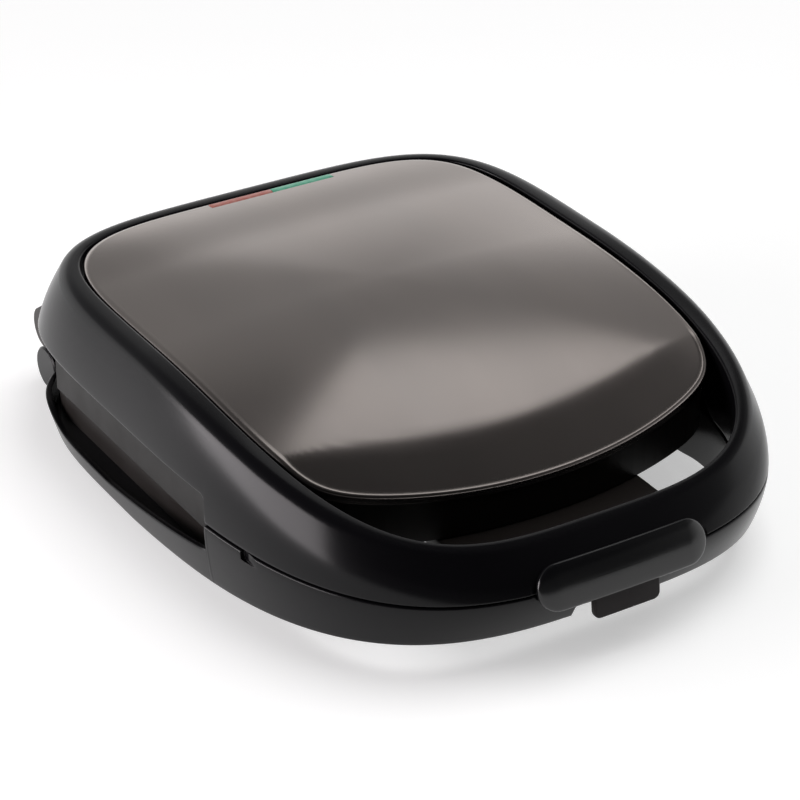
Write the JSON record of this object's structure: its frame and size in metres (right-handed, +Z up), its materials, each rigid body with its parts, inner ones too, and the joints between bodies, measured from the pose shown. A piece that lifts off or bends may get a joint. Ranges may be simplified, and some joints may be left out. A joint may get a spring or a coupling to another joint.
{
  "type": "sandwich toaster",
  "caption": "Closed sandwich toaster with a hinged lid, a handle that loops round the front, a pill-shaped latch and lift-out cooking plates.",
  "frame": {"origin": "on the table under the middle of the whole toaster, latch and hinge included", "axes": "+Z up, -Y towards the handle and the latch, +X to the right of someone at the handle who looks towards the hinge"},
  "size_m": [0.2478, 0.3226, 0.0842],
  "materials": {
    "gloss_black": "high gloss black moulding",
    "matte_black": "matte heat-proof moulding",
    "latch_moulding": "matte dark brown-grey moulding",
    "panel_metal": "satin champagne-grey sheet metal",
    "plate_coating": "non-stick coating on die-cast metal",
    "heater_metal": "oxidised steel tube",
    "sheet_metal": "bright aluminised sheet",
    "bracket_steel": "zinc-plated steel",
    "bright_steel": "plated steel",
    "soft_rubber": "matte rubber",
    "red_window": "translucent red",
    "green_window": "translucent green",
    "lamp_glass": "small glass lamps",
    "lead_sleeve": "glass-fibre sleeving",
    "terminal_plastic": "off-white terminal block and fuse sleeve"
  },
  "bodies": {
    "base": {"base_shell": "gloss_black", "bottom_cover": "matte_black", "lower_housing": "matte_black", "lower_plate": "plate_coating", "lower_element": "heater_metal", "lower_reflector": "sheet_metal", "lower_element_clamps": "bracket_steel", "thermostat": "bracket_steel", "thermal_fuse": "terminal_plastic", "terminal_block": "terminal_plastic", "cord_gland": "soft_rubber", "base_leads": "lead_sleeve", "rubber_feet": "soft_rubber", "bottom_screws": "bright_steel", "tray_screws": "bright_steel", "hinge_brackets": "bracket_steel", "hinge_bracket_screws": "bright_steel", "hinge_pins": "bright_steel"},
    "lid": {"lid_frame": "gloss_black", "lid_panel": "panel_metal", "lid_housing": "gloss_black", "upper_plate": "plate_coating", "upper_element": "heater_metal", "upper_reflector": "sheet_metal", "upper_element_clamps": "bracket_steel", "red_lens": "red_window", "green_lens": "green_window", "lamp_holder": "matte_black", "indicator_lamps": "lamp_glass", "lid_screws": "bright_steel", "hinge_arms": "matte_black", "hinge_arm_screws": "bright_steel", "upper_leads": "lead_sleeve", "latch_brackets": "bracket_steel", "latch_pin": "bright_steel", "latch_spring": "bright_steel"},
    "latch": {"latch_cap": "gloss_black", "latch_lever": "latch_moulding"},
    "lower_release_left": {"lower_release_left": "matte_black"},
    "lower_release_right": {"lower_release_right": "matte_black"},
    "upper_release_left": {"upper_release_left": "matte_black"},
    "upper_release_right": {"upper_release_right": "matte_black"}
  },
  "joints": [
    {"name": "lid_hinge", "type": "hinge", "parent": "base", "child": "lid", "pos_m": [0, 0.15124, 0.031], "axis": [-1, 0, 0], "range_deg": [0, 100]},
    {"name": "latch_pivot", "type": "hinge", "parent": "lid", "child": "latch", "pos_m": [0, -0.14276, 0.0422], "axis": [-1, 0, 0], "range_deg": [0, 16], "stiffness_Nm_per_rad": 0.4, "deforming": ["latch_spring"]},
    {"name": "lower_release_left_slide", "type": "slide", "parent": "base", "child": "lower_release_left", "axis": [0, -1, 0], "range_m": [0, 0.003], "stiffness_N_per_m": 300},
    {"name": "lower_release_right_slide", "type": "slide", "parent": "base", "child": "lower_release_right", "axis": [0, -1, 0], "range_m": [0, 0.003], "stiffness_N_per_m": 300},
    {"name": "upper_release_left_slide", "type": "slide", "parent": "lid", "child": "upper_release_left", "axis": [0, -1, 0], "range_m": [0, 0.003], "stiffness_N_per_m": 300},
    {"name": "upper_release_right_slide", "type": "slide", "parent": "lid", "child": "upper_release_right", "axis": [0, -1, 0], "range_m": [0, 0.003], "stiffness_N_per_m": 300}
  ]
}
